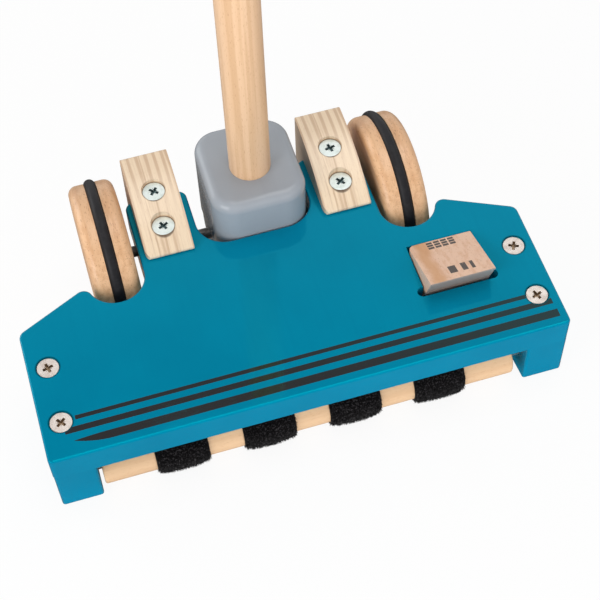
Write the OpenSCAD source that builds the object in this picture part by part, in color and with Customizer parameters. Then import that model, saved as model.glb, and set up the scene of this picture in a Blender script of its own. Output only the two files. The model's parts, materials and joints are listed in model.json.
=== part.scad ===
// Toy vacuum cleaner: a wooden floor head on two wheels, with a sweeping roller,
// a tipping pedal and an upright handle that folds back about the wheel axle.
// Lengths are in millimetres. X runs to the right, Y to the rear and Z up, with the
// floor at Z = 0. The head is drawn in its own frame, whose origin is the middle of
// the plate's upper front edge, and is then tilted until soles and wheels both stand.

/* [Base plate] */
// Width across the plate
plate_w = 220; // [190:1:260]
// Length of the straight sides
plate_side_l = 63; // [54:1:75]
// Thickness of the board
plate_t = 13.5; // [11:0.5:18]
// How much further back the shoulders end than the straight sides
shoulder_rise = 15.5; // [8:0.5:20]
// Radius of the plate's outer corners
plate_r = 4; // [2:0.5:6]
// Radius of the plate's front corners
plate_front_r = 2; // [1:0.5:4]

/* [Wheels and axle] */
// Distance of the axle behind the plate's front edge
axle_y = 105; // [96:0.5:120]
// Depth of the axle below the plate's underside
axle_cover = 7; // [5.5:0.5:10]
// Diameter of the steel axle
axle_d = 5; // [4:0.5:7]
// Diameter of the wooden wheels
wheel_d = 69; // [60:1:78]
// Width of the wheels
wheel_w = 20; // [15:1:26]
// Rounding of the wheels' edges
wheel_edge_r = 4; // [2:0.5:6]
// Thickness of the rubber rings
ring_d = 5.2; // [4:0.2:6.4]
// How far the rubber rings stand proud of the wood
ring_proud = 1.5; // [1:0.1:2]
// Room between a wheel and the sides of its notch
wheel_side_gap = 2.4; // [1.5:0.1:3.5]
// Room between a wheel and the front of its notch
wheel_front_gap = 2.5; // [1.5:0.1:5]
// Diameter of the caps on the axle's ends
cap_d = 11; // [9:0.5:14]

/* [Tabs and axle blocks] */
// Width of the tabs that carry the axle blocks
tab_w = 27.4; // [24:0.2:34]
// How far the tabs reach behind the axle
tab_run = 11.4; // [9:0.2:14]
// Width of the axle blocks
block_w = 21; // [16:0.5:23]
// How far a block stands in from the wheel's side of its tab
block_inset = 2.6; // [1:0.1:3.5]
// How far a block's front tip lies ahead of the axle
block_front_run = 23.3; // [20:0.1:26]
// Height of the arched top over the plate
block_crest_h = 15; // [13:0.1:18]
// Radius of the arched top
block_arch_r = 75; // [60:1:90]
// Thickness of wood behind the plate's tabs
block_wall = 12.6; // [9:0.1:15]
// Radius of the one well rounded corner
block_corner_r = 5; // [2:0.5:6]

/* [Legs] */
// Thickness of the leg boards
leg_w = 17.5; // [14:0.5:22]
// How far the legs stand in from the plate's sides
leg_inset = 0.3; // [0.2:0.1:3]
// How far the legs end ahead of the straight sides' rear ends
leg_setback = 3; // [1:0.5:8]

/* [Roller] */
// Diameter of the wooden roller
roller_d = 18; // [14:0.5:22]
// Distance of the roller's axis behind the plate's front edge
roller_y = 9; // [8:0.1:12]
// Gap between the roller's ends and the legs, with the roller in the middle
roller_gap = 3.4; // [2.4:0.1:4]
// Place of the roller to the right of the middle
roller_shift = -1.8; // [-2:0.2:2]
// Diameter of the roller's pins
roller_pin_d = 5; // [4:0.5:6]
// Width of a nap band
band_w = 22.3; // [16:0.1:28]
// Thickness of a nap band
band_t = 3; // [2:0.1:4]
// Bare wood between the outer bands and the roller's ends
band_end_run = 22; // [12:0.1:30]

/* [Handle] */
// Width of the handle block
handle_block_w = 42; // [36:0.5:50]
// How far the handle block reaches ahead of the axle
handle_front_run = 21.7; // [18:0.1:23]
// How far the handle block reaches behind the axle
handle_rear_run = 24.9; // [23.5:0.1:28]
// Height of the handle block over the plate
handle_block_h = 20; // [16:0.5:26]
// Radius of the handle block's upright corners
handle_block_r = 11; // [6:0.5:14]
// Rounding of the handle block's upper edges
handle_edge_r = 4.5; // [3:0.5:6]
// Room beside the handle block in its notch
handle_side_room = 4.5; // [3.6:0.1:6]
// Place of the handle to the right of the middle
handle_shift = 2.5; // [-3:0.5:3]
// Diameter of the handle rod
rod_d = 18; // [15:0.5:22]
// Distance from the axle to the middle of the hand ball
handle_l = 590; // [450:5:720]
// Diameter of the hand ball
ball_d = 36; // [30:1:46]

/* [Pedal] */
// Distance of the pedal from the plate's right side
pedal_inset = 23.8; // [20:0.2:30]
// Width of the pedal
pedal_w = 28.4; // [22:0.2:34]
// Wood between the pedal's pocket and the wheel notch
pedal_bridge = 10; // [6:0.5:14]
// Diameter of the pedal's pin
pedal_pin_d = 4; // [3:0.5:5]
// How far the pedal's top reaches behind its pin
pedal_rear_run = 18; // [15:0.2:20]
// How far the pedal's lip reaches ahead of its pin
pedal_front_run = 10.6; // [9:0.2:12]
// Height of the raised lip over the plate
pedal_lip_h = 11.2; // [8:0.2:14]
// How far the pedal tips, in degrees
pedal_swing = 6; // [3:1:6]

/* [Screws] */
// Diameter of the screw heads
screw_head_d = 9.8; // [8:0.2:11]
// Diameter of the screw shanks
screw_d = 4.5; // [3.5:0.5:5]
// How far the leg screws sit outwards of the legs' middle
leg_screw_shift = 0.5; // [0:0.1:2]
// Distance of the front leg screws behind the roller's axis
leg_screw_run = 8; // [6.5:0.5:12]
// Distance of the rear leg screws ahead of the legs' rear ends
leg_screw_end = 16.4; // [10:0.2:20]
// Length of the leg screws
leg_screw_l = 32; // [25:1:35]
// Distance of the front block screws ahead of the axle
block_screw_run = 11.1; // [10:0.1:13]
// Distance from the front block screws to the rear ones
block_screw_pitch = 15.3; // [13:0.1:17]
// Length of the block screws
block_screw_l = 25; // [20:1:28]

/* [Hidden] */
$fn = 72;

// Fits and clearances
run_clear = 0.05;
side_clear = 0.4;
stop_clear = 0.3;
slot_clear = 0.2;
overrun = 1;

// Colours
teal = "#0082a5";
beech = "#e9c59a";
grey = "#9ea4ac";
black = "#242224";
steel = "#c9cbcd";

// Roller, wheels and the tilt at which the nap just clears the floor
band_count = 4;
band_plate_gap = 0.7;
band_floor_gap = 0.4;
band_r = roller_d / 2 + band_t;
band_edge_share = 0.7;
band_edge_r = band_edge_share * band_t;
roller_drop = plate_t + band_plate_gap + band_r;
roller_floor_h = band_r + band_floor_gap;
axle_drop = plate_t + axle_cover;
ring_outer_r = wheel_d / 2 + ring_proud;
ring_mid_r = ring_outer_r - ring_d / 2;
axle_from_roller = [axle_y - roller_y, roller_drop - axle_drop];
head_tilt = asin((ring_outer_r - roller_floor_h) / norm(axle_from_roller))
    - atan2(axle_from_roller.y, axle_from_roller.x);
leg_drop = roller_drop + (roller_floor_h - roller_y * sin(head_tilt)) / cos(head_tilt);

// Plate outline, from the handle's notch outwards
handle_notch_w = handle_block_w + 2 * handle_side_room;
handle_notch_r = handle_block_r + handle_side_room - abs(handle_shift);
handle_notch_y = axle_y - handle_front_run - stop_clear;
tab_x = handle_notch_w / 2 + tab_w;
tab_rear_y = axle_y + tab_run;
notch_r = wheel_w / 2 + wheel_side_gap;
notch_front_y = axle_y - ring_outer_r - wheel_front_gap;
wheel_x = tab_x + notch_r;
shoulder_x = wheel_x + notch_r;
shoulder_y = plate_side_l + shoulder_rise;

// Axle blocks
block_tip_h = 1.2;
block_edge_r = 1.3;
block_x = tab_x - block_inset - block_w / 2;
block_front_y = axle_y - block_front_run;
block_rear_y = tab_rear_y + slot_clear + block_wall;
block_lower_r = block_rear_y - axle_y;
arch_z = block_crest_h - block_arch_r;
arch_y = block_front_y + sqrt(pow(block_arch_r, 2) - pow(block_tip_h - arch_z, 2));

// Axle ends
wheel_outer_x = wheel_x + wheel_w / 2;
cap_dome_h = 3.4;
cap_wall = 1;
cap_cover = 0.3;
cap_recess_gap = 0.8;
cap_recess_h = side_clear + cap_dome_h + cap_cover;
cap_seat_x = wheel_outer_x - cap_recess_h + side_clear;
axle_end_x = cap_seat_x + cap_dome_h - cap_wall;

// Screws
screw_head_h = (screw_head_d - screw_d) / 2;
screw_rim_h = 0.5;
screw_tip_h = 4;
screw_slot_w = 1.1;
screw_slot_d = 1.6;
screw_slot_share = 0.55;
screw_recess = 0.6;
screw_recess_gap = 0.4;
block_screw_ys = [axle_y - block_screw_run, axle_y - block_screw_run + block_screw_pitch];

// Legs and roller
leg_l = plate_side_l - leg_setback;
leg_x = plate_w / 2 - leg_inset - leg_w / 2;
leg_inner_x = leg_x - leg_w / 2;
leg_screw_x = leg_x + leg_screw_shift;
leg_screw_ys = [roller_y + leg_screw_run, leg_l - leg_screw_end];
roller_half_l = leg_inner_x - roller_gap;
roller_edge_r = 1;
roller_pin_wall = 6.5;
roller_pin_end_x = leg_inner_x + leg_w - roller_pin_wall;
roller_pin_in_roller = 20;
band_pitch = (2 * (roller_half_l - band_end_run) - band_w) / (band_count - 1);

// Handle
handle_block_d = handle_front_run + handle_rear_run;
rod_floor_wall = 5;
rod_bottom_z = -axle_drop + axle_d / 2 + rod_floor_wall;
rod_in_ball = 22;
rod_chamfer = 1;
ball_z = handle_l - axle_drop;

// Pedal and its pocket, whose floor stops the tail at rest and the foot when it is tipped
pedal_pin_z = -plate_t / 2;
pedal_rear_h = 0.6;
pedal_front_lean = 4.2;
pedal_foot_run = 4.4;
pedal_tail_inset = 1.5;
pedal_side_gap = 0.5;
pedal_rear_gap = 0.5;
pedal_throat = 1.5;
pedal_corner_r = 3;
pedal_small_r = 1;
pedal_ear_r = 2.4;
pedal_ear_out = 0.8;
pedal_pin_hold = 9;
pocket_floor_t = 2.2;
pocket_depth = plate_t - pocket_floor_t;
pedal_depth = pocket_depth - stop_clear;
pedal_foot_depth = pedal_depth - pedal_foot_run * tan(pedal_swing);
pedal_x = plate_w / 2 - pedal_inset - pedal_w / 2;
pocket_rear_y = notch_front_y - pedal_bridge;
pedal_rear_y = pocket_rear_y - pedal_rear_gap;
pedal_pin_y = pedal_rear_y - pedal_rear_run;
pedal_front_y = pedal_pin_y - pedal_front_run + pedal_front_lean;
pocket_front_y = pedal_front_y - pedal_throat;
pocket_w = pedal_w + 2 * pedal_side_gap;
pedal_pin_inner_x = pedal_x - pocket_w / 2 - pedal_pin_hold;

// Place of the head over the floor, with the middle of the whole toy at the origin
head_z = leg_drop * cos(head_tilt);
axle_floor_y = axle_y * cos(head_tilt) + axle_drop * sin(head_tilt);
ball_floor_y = axle_floor_y - handle_l * sin(head_tilt);
front_y = min(0, ball_floor_y - ball_d / 2);
rear_y = axle_floor_y + ring_outer_r;
head_y = -(front_y + rear_y) / 2;

function arch_top(y) = arch_z + sqrt(pow(block_arch_r, 2) - pow(y - arch_y, 2));

// Moves the head's frame onto the floor
module on_floor() {
    translate([0, head_y, head_z]) rotate([head_tilt, 0, 0]) children();
}

// Turns an outline drawn in Y and Z into a board of thickness w, centred on X
module board(w) {
    rotate([90, 0, 90]) linear_extrude(height = w, center = true) children();
}

// Round bar along X between two places
module bar(d, x_from, x_to) {
    translate([x_from, 0, 0]) rotate([0, 90, 0]) cylinder(h = x_to - x_from, d = d);
}

// Section of a turned piece: a rectangle from r_in to r_out with its outer corners rounded
module turned_section(r_in, r_out, w, edge_r) {
    difference() {
        translate([r_in, -w / 2]) square([r_out - r_in, w]);
        for (s = [-1, 1]) difference() {
            translate([r_out - edge_r, s > 0 ? w / 2 - edge_r : -w / 2]) square(edge_r);
            translate([r_out - edge_r, s * (w / 2 - edge_r)]) circle(edge_r);
        }
    }
}

// Turned piece whose axis is X
module turned(r_in, r_out, w, edge_r) {
    rotate([0, 90, 0]) rotate_extrude() turned_section(r_in, r_out, w, edge_r);
}

// Rounded rectangle given by its middle, its size and the radii of its four corners,
// counted from the front left corner to the right
module rounded_rect(size, radii) {
    difference() {
        square(size, center = true);
        for (i = [0:3]) if (radii[i] > 0) {
            sx = (i == 0 || i == 3) ? -1 : 1;
            sy = i < 2 ? -1 : 1;
            r = radii[i];
            corner = [sx * size.x / 2, sy * size.y / 2];
            difference() {
                translate(corner) square(2 * r, center = true);
                translate(corner - [sx * r, sy * r]) circle(r);
            }
        }
    }
}

// Countersunk wood screw, head flush with Z = 0 and point down, with a crossed slot
module wood_screw(length) {
    difference() {
        union() {
            translate([0, 0, -screw_rim_h]) cylinder(h = screw_rim_h, d = screw_head_d);
            translate([0, 0, -screw_rim_h - screw_head_h])
                cylinder(h = screw_head_h, d1 = screw_d, d2 = screw_head_d);
            translate([0, 0, screw_tip_h - length])
                cylinder(h = length - screw_tip_h - screw_rim_h - screw_head_h, d = screw_d);
            translate([0, 0, -length]) cylinder(h = screw_tip_h, d1 = 0, d2 = screw_d);
        }
        for (a = [0, 90]) rotate(a) translate([0, 0, -screw_slot_d / 2 + overrun / 2])
            cube([screw_head_d * screw_slot_share, screw_slot_w, screw_slot_d + overrun], center = true);
    }
}

// Room that a wood screw takes up in what it holds
module screw_room(length) {
    translate([0, 0, -screw_rim_h]) cylinder(h = screw_rim_h + overrun, d = screw_head_d);
    translate([0, 0, -screw_rim_h - screw_head_h])
        cylinder(h = screw_head_h, d1 = screw_d, d2 = screw_head_d);
    translate([0, 0, screw_tip_h - length]) cylinder(h = length - screw_tip_h, d = screw_d);
    translate([0, 0, -length]) cylinder(h = screw_tip_h, d1 = 0, d2 = screw_d);
}

// Both sides' leg screws, or their room
module at_leg_screws(sides) {
    for (s = sides, y = leg_screw_ys) translate([s * leg_screw_x, y, 0]) children();
}

// The axle blocks' screws, sunk a little below the arched top
module at_block_screws(sides) {
    for (s = sides, y = block_screw_ys)
        translate([s * block_x, y, arch_top(y) - screw_recess]) children();
}

// Plate outline seen from above
module plate_outline() {
    offset(r = plate_r) offset(delta = -plate_r) difference() {
        polygon([
            [-plate_w / 2, 0], [plate_w / 2, 0],
            [plate_w / 2, plate_side_l], [shoulder_x, shoulder_y],
            [wheel_x, shoulder_y], [tab_x, tab_rear_y],
            [-tab_x, tab_rear_y], [-wheel_x, shoulder_y],
            [-shoulder_x, shoulder_y], [-plate_w / 2, plate_side_l]
        ]);
        for (s = [-1, 1]) {
            translate([s * wheel_x, notch_front_y + notch_r]) circle(notch_r);
            translate([s * wheel_x - notch_r, notch_front_y + notch_r])
                square([2 * notch_r, tab_rear_y - notch_front_y]);
        }
        handle_notch();
    }
    translate([0, plate_r]) rounded_rect([plate_w, 2 * plate_r], [plate_front_r, plate_front_r, 0, 0]);
}

// Notch between the tabs, with well rounded front corners
module handle_notch() {
    notch_l = tab_rear_y - handle_notch_y + overrun;
    translate([0, handle_notch_y + notch_l / 2])
        rounded_rect([handle_notch_w, notch_l], [handle_notch_r, handle_notch_r, 0, 0]);
}

// Pocket for the pedal, with ears drilled right through at its front corners
module pedal_pocket() {
    translate([pedal_x - pocket_w / 2, pocket_front_y, -pocket_depth])
        cube([pocket_w, pocket_rear_y - pocket_front_y, pocket_depth + overrun]);
    ear_x = pocket_w / 2 + pedal_ear_out;
    ear_y = pocket_front_y + pedal_ear_r;
    for (s = [-1, 1]) translate([pedal_x + s * ear_x, ear_y, -plate_t - overrun])
        cylinder(h = plate_t + 2 * overrun, r = pedal_ear_r);
}

module base_plate() {
    color(teal) on_floor() difference() {
        translate([0, 0, -plate_t]) linear_extrude(height = plate_t) plate_outline();
        pedal_pocket();
        translate([0, pedal_pin_y, pedal_pin_z])
            bar(pedal_pin_d, pedal_pin_inner_x, plate_w / 2 + overrun);
        at_leg_screws([-1, 1]) screw_room(leg_screw_l);
        at_block_screws([-1, 1]) screw_room(block_screw_l);
    }
}

// Leg board under one end of the plate, cut so that its sole lies flat on the floor
module leg(side) {
    color(teal) on_floor() difference() {
        translate([side * leg_x, 0, 0]) board(leg_w) polygon([
            [0, -plate_t], [leg_l, -plate_t],
            [leg_l, -leg_drop - leg_l * tan(head_tilt)], [0, -leg_drop]
        ]);
        translate([0, roller_y, -roller_drop]) mirror([side < 0 ? 1 : 0, 0, 0])
            bar(roller_pin_d + 2 * run_clear, leg_inner_x - overrun, roller_pin_end_x + side_clear);
        at_leg_screws([side]) screw_room(leg_screw_l);
    }
}

module left_leg() { leg(-1); }

module right_leg() { leg(1); }

module leg_screws() {
    color(steel) on_floor() at_leg_screws([-1, 1]) wood_screw(leg_screw_l);
}

// Side view of an axle block: arched top, wall behind the tab, round lower end about the axle
module axle_block_profile() {
    wall_y = tab_rear_y + slot_clear;
    intersection() {
        translate([arch_y, arch_z]) circle(block_arch_r, $fn = 240);
        union() {
            translate([block_front_y, 0]) square([block_rear_y - block_front_y, block_crest_h]);
            translate([wall_y, -axle_drop]) square([block_wall, block_crest_h + axle_drop]);
        }
    }
    difference() {
        translate([axle_y, -axle_drop]) circle(block_lower_r);
        translate([axle_y - block_lower_r, -plate_t])
            square([wall_y - axle_y + block_lower_r, block_lower_r + plate_t]);
    }
}

// Block that grips one tab from behind and carries the axle under it
module axle_block(side) {
    block_l = block_front_run + block_rear_y - axle_y;
    color(beech) on_floor() difference() {
        intersection() {
            translate([side * block_x, 0, 0]) board(block_w)
                offset(r = block_edge_r) offset(delta = -block_edge_r) axle_block_profile();
            translate([side * block_x, block_front_y + block_l / 2, -axle_drop - block_lower_r])
                linear_extrude(height = block_lower_r + axle_drop + block_crest_h)
                rounded_rect([block_w, block_l], [block_corner_r, block_edge_r, block_edge_r, block_edge_r]);
        }
        translate([0, axle_y, -axle_drop]) bar(axle_d, -wheel_x, wheel_x);
        at_block_screws([side]) {
            screw_room(block_screw_l);
            cylinder(h = block_crest_h, d = screw_head_d + 2 * screw_recess_gap);
        }
    }
}

module left_axle_block() { axle_block(-1); }

module right_axle_block() { axle_block(1); }

module block_screws() {
    color(steel) on_floor() at_block_screws([-1, 1]) wood_screw(block_screw_l);
}

// Places a piece on the axle
module on_axle(x) {
    on_floor() translate([x, axle_y, -axle_drop]) children();
}

module axle() {
    color(steel) on_axle(0) bar(axle_d, -axle_end_x, axle_end_x);
}

// Turned wheel with a groove for its rubber ring and a recess for its cap
module wheel(side) {
    color(beech) on_axle(side * wheel_x) rotate([0, 90, 0]) rotate_extrude() difference() {
        turned_section(axle_d / 2 + run_clear, wheel_d / 2, wheel_w, wheel_edge_r);
        translate([ring_mid_r, 0]) circle(d = ring_d);
        translate([ring_mid_r, -ring_d / 2]) square([ring_d, ring_d]);
        translate([0, side > 0 ? wheel_w / 2 - cap_recess_h : -wheel_w / 2 - overrun])
            square([cap_d / 2 + cap_recess_gap, cap_recess_h + overrun]);
    }
}

module left_wheel() { wheel(-1); }

module right_wheel() { wheel(1); }

module wheel_ring(side) {
    color(black) on_axle(side * wheel_x) rotate([0, 90, 0]) rotate_extrude()
        translate([ring_mid_r, 0]) circle(d = ring_d);
}

module left_wheel_ring() { wheel_ring(-1); }

module right_wheel_ring() { wheel_ring(1); }

// Pressed cap with a flange and a dome, on the end of the axle
module axle_cap(side) {
    dome_r = (pow(cap_d / 2, 2) + pow(cap_dome_h, 2)) / (2 * cap_dome_h);
    color(steel) on_axle(0) mirror([side < 0 ? 1 : 0, 0, 0])
        translate([cap_seat_x, 0, 0]) rotate([0, 90, 0]) difference() {
            intersection() {
                translate([0, 0, cap_dome_h - dome_r]) sphere(dome_r);
                cylinder(h = cap_dome_h, d = cap_d);
            }
            translate([0, 0, -overrun]) cylinder(h = cap_dome_h - cap_wall + overrun, d = axle_d);
        }
}

module left_axle_cap() { axle_cap(-1); }

module right_axle_cap() { axle_cap(1); }

// Places a piece on the roller's axis
module on_roller(x) {
    on_floor() translate([x, roller_y, -roller_drop]) children();
}

module roller() {
    color(beech) on_roller(roller_shift) difference() {
        turned(0, roller_d / 2, 2 * roller_half_l, roller_edge_r);
        for (s = [0, 1]) mirror([s, 0, 0])
            bar(roller_pin_d, roller_half_l - roller_pin_in_roller, roller_half_l + overrun);
    }
}

// Napped band around the roller, counted from the left
module nap_band(i) {
    color(black) on_roller(roller_shift + (i - (band_count + 1) / 2) * band_pitch)
        turned(roller_d / 2, band_r, band_w, band_edge_r);
}

module nap_band_1() { nap_band(1); }

module nap_band_2() { nap_band(2); }

module nap_band_3() { nap_band(3); }

module nap_band_4() { nap_band(4); }

// Steel pin driven into one end of the roller
module roller_pin(side) {
    roller_end_x = roller_half_l + side * roller_shift;
    color(steel) on_roller(0) mirror([side < 0 ? 1 : 0, 0, 0])
        bar(roller_pin_d, roller_end_x - roller_pin_in_roller, roller_pin_end_x);
}

module left_roller_pin() { roller_pin(-1); }

module right_roller_pin() { roller_pin(1); }

// Side view of the pedal: raised lip, foot cut back to let it tip, flat tail
module pedal_profile() {
    polygon([
        [pedal_rear_y, pedal_rear_h],
        [pedal_pin_y - pedal_front_run, pedal_lip_h],
        [pedal_front_y, 0],
        [pedal_pin_y - pedal_foot_run, -pedal_foot_depth],
        [pedal_pin_y, -pedal_depth],
        [pedal_rear_y - pedal_tail_inset, -pedal_depth]
    ]);
}

module pedal() {
    pedal_l = pedal_front_run + pedal_rear_run;
    pedal_radii = [pedal_small_r, pedal_small_r, pedal_small_r, pedal_corner_r];
    color(beech) on_floor() difference() {
        intersection() {
            translate([pedal_x, 0, 0]) board(pedal_w) pedal_profile();
            translate([pedal_x, pedal_rear_y - pedal_l / 2, -pedal_depth])
                linear_extrude(height = pedal_depth + pedal_lip_h)
                rounded_rect([pedal_w, pedal_l], pedal_radii);
        }
        translate([0, pedal_pin_y, pedal_pin_z])
            bar(pedal_pin_d + 2 * run_clear, pedal_x - pedal_w, pedal_x + pedal_w);
    }
}

module pedal_pin() {
    color(steel) on_floor() translate([0, pedal_pin_y, pedal_pin_z])
        bar(pedal_pin_d, pedal_pin_inner_x, plate_w / 2);
}

// Upright block from Z = 0 to its height, rounded in plan by r and round its upper edges by edge_r
module rounded_post(size, r, edge_r) {
    edge_radii = [0, 0, edge_r, edge_r];
    board(size.x - 2 * r) translate([0, size.z / 2]) rounded_rect([size.y, size.z], edge_radii);
    rotate([90, 0, 0]) linear_extrude(height = size.y - 2 * r, center = true)
        translate([0, size.z / 2]) rounded_rect([size.x, size.z], edge_radii);
    for (sx = [-1, 1], sy = [-1, 1])
        translate([sx * (size.x / 2 - r), sy * (size.y / 2 - r), 0]) rotate_extrude() intersection() {
            translate([0, size.z / 2]) rounded_rect([2 * r, size.z], edge_radii);
            square([r, size.z]);
        }
}

// Handle block: rounded in plan and round its upper edges, with a turned lower end about the axle,
// whose rounded edges pass the notch's corners as the handle folds
module handle_block() {
    rise = handle_block_h + axle_drop;
    color(grey) on_axle(handle_shift) difference() {
        union() {
            turned(0, handle_front_run, handle_block_w, handle_block_r);
            translate([0, handle_rear_run - handle_block_d / 2, 0])
                rounded_post([handle_block_w, handle_block_d, rise], handle_block_r, handle_edge_r);
        }
        bar(axle_d + 2 * run_clear, -handle_block_w, handle_block_w);
        translate([0, 0, rod_bottom_z + axle_drop]) cylinder(h = rise, d = rod_d);
    }
}

module handle_rod() {
    rod_top_z = ball_z - ball_d / 2 + rod_in_ball;
    color(beech) on_floor() translate([handle_shift, axle_y, rod_bottom_z]) {
        cylinder(h = rod_chamfer, d1 = rod_d - 2 * rod_chamfer, d2 = rod_d);
        translate([0, 0, rod_chamfer]) cylinder(h = rod_top_z - rod_bottom_z - rod_chamfer, d = rod_d);
    }
}

// Turned ball on the upper end of the rod
module hand_ball() {
    color(beech) on_floor() translate([handle_shift, axle_y, ball_z]) difference() {
        sphere(d = ball_d);
        translate([0, 0, -ball_d]) cylinder(h = ball_d / 2 + rod_in_ball, d = rod_d);
    }
}

base_plate();
left_leg();
right_leg();
leg_screws();
left_axle_block();
right_axle_block();
block_screws();
axle();
left_wheel();
right_wheel();
left_wheel_ring();
right_wheel_ring();
left_axle_cap();
right_axle_cap();
roller();
nap_band_1();
nap_band_2();
nap_band_3();
nap_band_4();
left_roller_pin();
right_roller_pin();
pedal();
pedal_pin();
handle_block();
handle_rod();
hand_ball();
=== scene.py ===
"""Dresses the toy vacuum cleaner: painted head, beech wheels and blocks, napped roller, folding handle."""

import json
import logging
import math
from dataclasses import dataclass, field
from enum import Enum
from functools import partialmethod
from typing import Any, Callable, ClassVar, Iterable

import bmesh
import bpy
import numpy as np
from mathutils import Matrix, Vector


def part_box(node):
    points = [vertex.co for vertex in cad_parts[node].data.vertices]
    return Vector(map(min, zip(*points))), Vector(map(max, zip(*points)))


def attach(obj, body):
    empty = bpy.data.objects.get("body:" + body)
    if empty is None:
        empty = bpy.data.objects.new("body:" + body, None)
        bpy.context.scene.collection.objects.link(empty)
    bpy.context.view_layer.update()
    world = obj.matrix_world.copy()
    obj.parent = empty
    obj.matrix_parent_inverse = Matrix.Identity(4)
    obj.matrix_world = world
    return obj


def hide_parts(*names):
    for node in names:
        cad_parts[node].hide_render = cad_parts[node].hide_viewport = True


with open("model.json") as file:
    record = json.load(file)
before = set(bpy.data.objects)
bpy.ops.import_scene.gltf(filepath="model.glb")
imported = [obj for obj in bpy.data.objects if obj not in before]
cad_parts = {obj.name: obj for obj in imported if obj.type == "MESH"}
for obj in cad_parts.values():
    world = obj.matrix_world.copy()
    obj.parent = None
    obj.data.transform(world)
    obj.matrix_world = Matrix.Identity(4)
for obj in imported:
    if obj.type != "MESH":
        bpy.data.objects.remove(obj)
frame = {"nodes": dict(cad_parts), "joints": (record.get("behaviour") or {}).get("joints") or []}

Pair = tuple[float, float]
Point = tuple[float, float, float]
RGB = tuple[int, int, int]
Edge = bmesh.types.BMEdge
Material = bpy.types.Material
Node = bpy.types.Node
NodeTree = bpy.types.NodeTree
Object = bpy.types.Object
Socket = bpy.types.NodeSocket

LOG = logging.getLogger("toy_vacuum_cleaner")
MM = 0.001
WHITE = (1.0, 1.0, 1.0, 1.0)
NODES = frame["nodes"]
JOINTS = {joint["name"]: joint["pos_m"] for joint in frame["joints"]}


class Side(Enum):
    """The two sides of the toy, as the sign of X."""

    LEFT = -1
    RIGHT = 1

    @property
    def label(self) -> str:
        """The side's word in the names of nodes."""
        return self.name.lower()


class Grain(Enum):
    """Direction in which the wood's fibres run, as the turn that brings it onto the pattern's Y."""

    ALONG_X = (0.0, 0.0, math.pi / 2)
    ALONG_Y = (0.0, 0.0, 0.0)
    ALONG_Z = (math.pi / 2, 0.0, 0.0)


def linear(rgb: Iterable[int]) -> tuple[float, float, float, float]:
    """Turns an 8-bit display colour into the linear colour that a shader takes.

    Args:
        rgb: Red, green and blue from 0 to 255.

    Returns:
        The linear colour with full alpha.
    """
    parts = [c / 255 for c in rgb]
    bent = [c / 12.92 if c <= 0.04045 else ((c + 0.055) / 1.055) ** 2.4 for c in parts]
    return (*bent, 1.0)


def mirrored(x: float, *rows: float) -> tuple[Pair, ...]:
    """Gives the places at X on the right and on the left of each row."""
    return tuple((sign * x, y) for y in rows for sign in (1, -1))


LEG_SEATS = mirrored(101.45, 17.0, 43.6)
BLOCK_SEATS = mirrored(39.8, 93.9, 109.2)


@dataclass(frozen=True)
class HeadFrame:
    """The tilted frame of the floor head: origin at the plate's upper front edge, in millimetres."""

    tilt: float
    origin: Vector
    axle: ClassVar[Pair] = (105.0, -20.5)
    roller: ClassVar[Pair] = (9.0, -26.2)

    @classmethod
    def from_joints(cls) -> "HeadFrame":
        """Finds the tilt and the origin from the places of the wheel and roller joints.

        Returns:
            The head's frame in the world.
        """
        axle, roller = JOINTS["left_wheel_spin"], JOINTS["roller_spin"]
        there = math.atan2(axle[2] - roller[2], axle[1] - roller[1])
        here = math.atan2(cls.axle[1] - cls.roller[1], cls.axle[0] - cls.roller[0])
        tilt = there - here
        turned = Matrix.Rotation(tilt, 3, "X") @ Vector((0.0, cls.axle[0] * MM, cls.axle[1] * MM))
        return cls(tilt, Vector((0.0, axle[1], axle[2])) - turned)

    @property
    def matrix(self) -> Matrix:
        """Takes a point of the head, in metres, to the world."""
        return Matrix.Translation(self.origin) @ Matrix.Rotation(self.tilt, 4, "X")

    def local(self, point: Vector) -> Vector:
        """Gives a world point in the head's own millimetres."""
        return (self.matrix.inverted() @ point) / MM


HEAD = HeadFrame.from_joints()


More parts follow.
